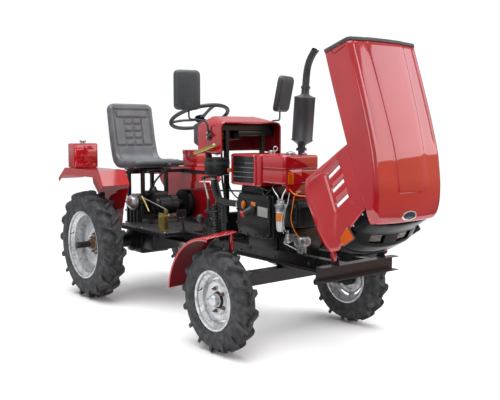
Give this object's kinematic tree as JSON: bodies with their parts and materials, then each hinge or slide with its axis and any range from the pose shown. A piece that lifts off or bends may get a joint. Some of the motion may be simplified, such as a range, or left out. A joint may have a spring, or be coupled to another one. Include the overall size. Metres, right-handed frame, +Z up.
{
  "type": "tractor",
  "caption": "Small open-station farm tractor with a tipped-open hood, exposed single-cylinder engine, lugged drive tyres and a steered front axle.",
  "frame": {"origin": "on the ground, under the middle of the tractor's overall length and width", "axes": "+X forward along the tractor, +Y to its left, +Z up"},
  "size_m": [2.9728, 1.2, 1.7012],
  "materials": {
    "air_cleaner": "black paint",
    "alternator": "dull",
    "axle_housing_left": "painted casting",
    "axle_housing_right": "painted casting",
    "axle_shaft_left": "worn",
    "axle_shaft_right": "worn",
    "belt_guard": "deep red gloss",
    "brake_bracket": "yellow zinc plate",
    "brake_pedal": "black paint",
    "clutch_pedal": "black paint",
    "clutch_pulley": "painted casting",
    "cylinder_head": "painted casting",
    "dash_cowl": "deep red gloss",
    "dash_frame": "black paint",
    "drawbar": "black paint",
    "drive_belts": "matt",
    "engine_block": "painted casting",
    "exhaust": "black paint",
    "fender_front_left": "deep red gloss",
    "fender_front_right": "deep red gloss",
    "fender_rear_left": "deep red gloss",
    "fender_rear_right": "deep red gloss",
    "flywheel": "painted casting",
    "front_axle_beam": "black paint",
    "front_cross_channel": "black paint",
    "fuel_filter": "clear bowl, bright head",
    "fuel_tank": "deep red gloss",
    "gearbox": "painted casting",
    "headlamp_left": "clear lens",
    "headlamp_right": "clear lens",
    "hood_panel_left": "deep red gloss",
    "hood_panel_right": "deep red gloss",
    "hood_shell": "deep red gloss",
    "intake_hose": "ribbed",
    "knuckle_left": "black paint",
    "knuckle_right": "black paint",
    "mirror_left": "moulded, satin",
    "mirror_right": "moulded, satin",
    "nose_grille": "black paint",
    "platform": "checkered plate",
    "radiator": "deep red gloss",
    "rail_left": "black paint",
    "rail_right": "black paint",
    "rim_front_left": "silver paint, rusty at the hub",
    "rim_front_right": "silver paint, rusty at the hub",
    "rim_rear_left": "silver paint, rusty at the hub",
    "rim_rear_right": "silver paint, rusty at the hub",
    "seat": "moulded, satin",
    "seat_frame": "black paint",
    "side_tank": "deep red gloss",
    "steering_box": "painted casting",
    "steering_wheel": "satin",
    "tie_rod": "black paint",
    "toolbox": "deep red gloss",
    "turn_lamp_left": "clear amber lens",
    "turn_lamp_right": "clear amber lens",
    "tyre_front_left": "moulded tread",
    "tyre_front_right": "moulded tread",
    "tyre_rear_left": "moulded tread",
    "tyre_rear_right": "moulded tread"
  },
  "bodies": {
    "chassis": {"air_cleaner": "air_cleaner", "alternator": "alternator", "axle_housing_left": "axle_housing_left", "axle_housing_right": "axle_housing_right", "belt_guard": "belt_guard", "brake_bracket": "brake_bracket", "brake_pedal": "brake_pedal", "clutch_pedal": "clutch_pedal", "clutch_pulley": "clutch_pulley", "cylinder_head": "cylinder_head", "dash_cowl": "dash_cowl", "dash_frame": "dash_frame", "drawbar": "drawbar", "drive_belts": "drive_belts", "engine_block": "engine_block", "exhaust": "exhaust", "fender_rear_left": "fender_rear_left", "fender_rear_right": "fender_rear_right", "flywheel": "flywheel", "front_axle_beam": "front_axle_beam", "front_cross_channel": "front_cross_channel", "fuel_filter": "fuel_filter", "fuel_tank": "fuel_tank", "gearbox": "gearbox", "intake_hose": "intake_hose", "mirror_left": "mirror_left", "mirror_right": "mirror_right", "platform": "platform", "radiator": "radiator", "rail_left": "rail_left", "rail_right": "rail_right", "seat": "seat", "seat_frame": "seat_frame", "side_tank": "side_tank", "steering_box": "steering_box", "toolbox": "toolbox"},
    "hood": {"hood_shell": "hood_shell", "hood_panel_right": "hood_panel_right", "hood_panel_left": "hood_panel_left", "nose_grille": "nose_grille", "headlamp_right": "headlamp_right", "headlamp_left": "headlamp_left", "turn_lamp_right": "turn_lamp_right", "turn_lamp_left": "turn_lamp_left"},
    "steering_wheel": {"steering_wheel": "steering_wheel"},
    "tie_rod": {"tie_rod": "tie_rod"},
    "knuckle_right": {"knuckle_right": "knuckle_right", "fender_front_right": "fender_front_right"},
    "wheel_front_right": {"tyre_front_right": "tyre_front_right", "rim_front_right": "rim_front_right"},
    "wheel_rear_right": {"tyre_rear_right": "tyre_rear_right", "rim_rear_right": "rim_rear_right", "axle_shaft_right": "axle_shaft_right"},
    "knuckle_left": {"knuckle_left": "knuckle_left", "fender_front_left": "fender_front_left"},
    "wheel_front_left": {"tyre_front_left": "tyre_front_left", "rim_front_left": "rim_front_left"},
    "wheel_rear_left": {"tyre_rear_left": "tyre_rear_left", "rim_rear_left": "rim_rear_left", "axle_shaft_left": "axle_shaft_left"}
  },
  "joints": [
    {"name": "hood_hinge", "type": "hinge", "parent": "chassis", "child": "hood", "pos_m": [1.1546, 0, 0.55], "axis": [0, -1, 0], "range_deg": [0, 59.6]},
    {"name": "steering_wheel_turn", "type": "hinge", "parent": "chassis", "child": "steering_wheel", "pos_m": [-0.3084, 0, 1.289], "axis": [-0.3825, 0, 0.924], "range_deg": [-540, 540]},
    {"name": "steer_right", "type": "hinge", "parent": "chassis", "child": "knuckle_right", "pos_m": [0.6006, -0.408, 0.2875], "axis": [0, 0, 1], "range_deg": [-30.1, 30.1]},
    {"name": "steer_left", "type": "hinge", "parent": "chassis", "child": "knuckle_left", "pos_m": [0.6006, 0.408, 0.2875], "axis": [0, 0, 1], "range_deg": [-30.1, 30.1]},
    {"name": "tie_rod_turn", "type": "hinge", "parent": "knuckle_right", "child": "tie_rod", "pos_m": [0.4706, -0.408, 0.3083], "axis": [0, 0, 1], "range_deg": [-30.1, 30.1]},
    {"name": "wheel_front_right_spin", "type": "hinge", "parent": "knuckle_right", "child": "wheel_front_right", "pos_m": [0.6006, -0.507, 0.2875], "axis": [0, 1, 0], "continuous": true},
    {"name": "wheel_rear_right_spin", "type": "hinge", "parent": "chassis", "child": "wheel_rear_right", "pos_m": [-1.0084, -0.464, 0.387], "axis": [0, 1, 0], "continuous": true},
    {"name": "wheel_front_left_spin", "type": "hinge", "parent": "knuckle_left", "child": "wheel_front_left", "pos_m": [0.6006, 0.507, 0.2875], "axis": [0, 1, 0], "continuous": true},
    {"name": "wheel_rear_left_spin", "type": "hinge", "parent": "chassis", "child": "wheel_rear_left", "pos_m": [-1.0084, 0.464, 0.387], "axis": [0, 1, 0], "continuous": true}
  ],
  "couplings": [
    {"joint": "steer_right", "follows": "steering_wheel_turn", "ratio": 0.055556},
    {"joint": "steer_left", "follows": "steering_wheel_turn", "ratio": 0.055556},
    {"joint": "tie_rod_turn", "follows": "steering_wheel_turn", "ratio": -0.055556}
  ]
}
